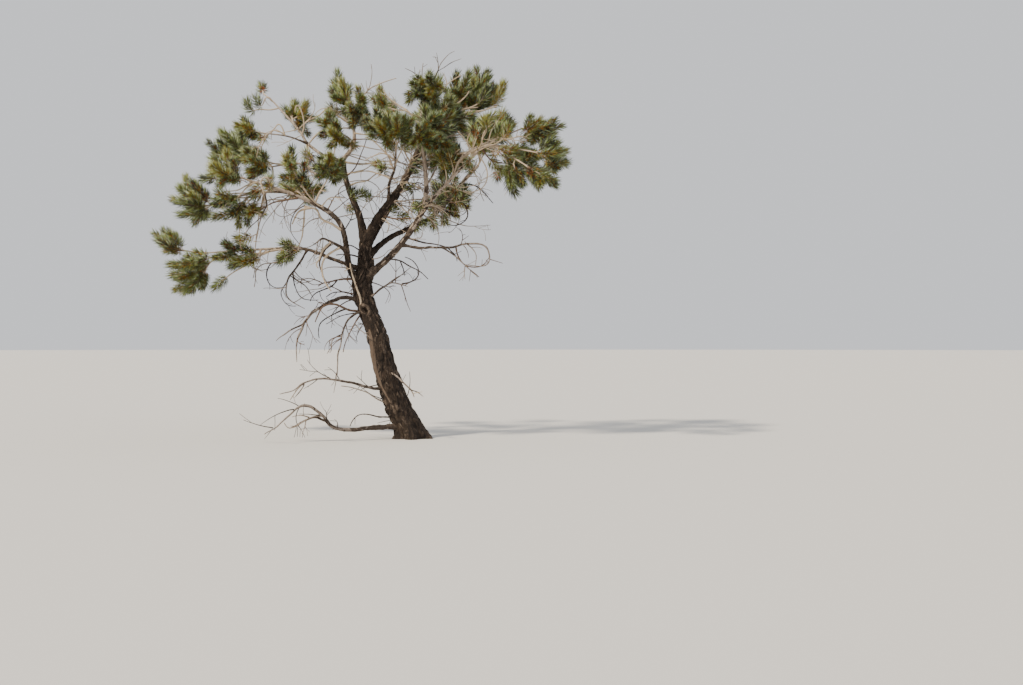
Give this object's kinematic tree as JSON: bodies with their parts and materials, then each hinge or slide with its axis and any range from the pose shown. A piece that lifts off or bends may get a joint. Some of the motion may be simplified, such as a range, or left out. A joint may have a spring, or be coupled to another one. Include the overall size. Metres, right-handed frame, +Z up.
{
  "type": "pine tree",
  "caption": "Small wind-shaped pine with a leaning forked trunk, bare curled dead limbs and an open, spreading crown of short needles in tufts.",
  "frame": {"origin": "middle of the flat cut under the trunk, at ground level", "axes": "+Z up the plant, -Y the front seen in the picture, +X to the right of it"},
  "size_m": [2.1994, 1.1908, 1.9261],
  "materials": {
    "dark_bark": "rough scaly bark",
    "pale_bark": "smoother grey-brown bark",
    "dead_wood": "weathered bare wood",
    "needles": "matt green needles"
  },
  "bodies": {
    "root": {"dead_left_arch": "dead_wood", "dead_left_droop": "dead_wood", "dead_left_hanging": "dead_wood", "dead_left_hook": "dead_wood", "dead_left_stub": "dead_wood", "dead_low_lower": "dead_wood", "dead_low_stub": "dead_wood", "dead_low_upper": "dead_wood", "dead_right_curl": "dead_wood", "dead_right_low": "dead_wood", "dead_top": "dead_wood", "front_bough": "pale_bark", "left_bough": "dark_bark", "left_bough_lower": "pale_bark", "left_leader": "dark_bark", "left_leader_top": "pale_bark", "left_low_bough": "pale_bark", "long_right_bough": "pale_bark", "mid_left_bough": "pale_bark", "needles_centre_front": "needles", "needles_centre_spire": "needles", "needles_leader_left_crown": "needles", "needles_leader_left_front": "needles", "needles_leader_left_top": "needles", "needles_left_high_inner": "needles", "needles_left_high_outer": "needles", "needles_left_high_upper": "needles", "needles_left_inner_front": "needles", "needles_left_inner_low": "needles", "needles_left_low_inner": "needles", "needles_left_low_near": "needles", "needles_left_low_outer": "needles", "needles_left_low_tip": "needles", "needles_left_mid_lower": "needles", "needles_left_mid_outer": "needles", "needles_left_mid_upper": "needles", "needles_rear_low": "needles", "needles_right_hanging": "needles", "needles_right_heart_back": "needles", "needles_right_heart_front": "needles", "needles_right_heart_low": "needles", "needles_right_heart_mid": "needles", "needles_right_mid": "needles", "needles_right_round": "needles", "needles_right_shoulder": "needles", "needles_right_tip": "needles", "needles_right_top_left": "needles", "needles_right_top_outer": "needles", "needles_upper_left_inner": "needles", "needles_upper_left_side": "needles", "needles_upper_left_tip": "needles", "rear_leader": "dark_bark", "right_front_bough": "dark_bark", "right_leader": "dark_bark", "right_leader_top": "pale_bark", "right_rear_bough": "dark_bark", "right_upper_bough": "pale_bark", "trunk": "dark_bark", "upper_left_bough": "pale_bark", "upper_left_side_bough": "pale_bark"}
  },
  "joints": []
}
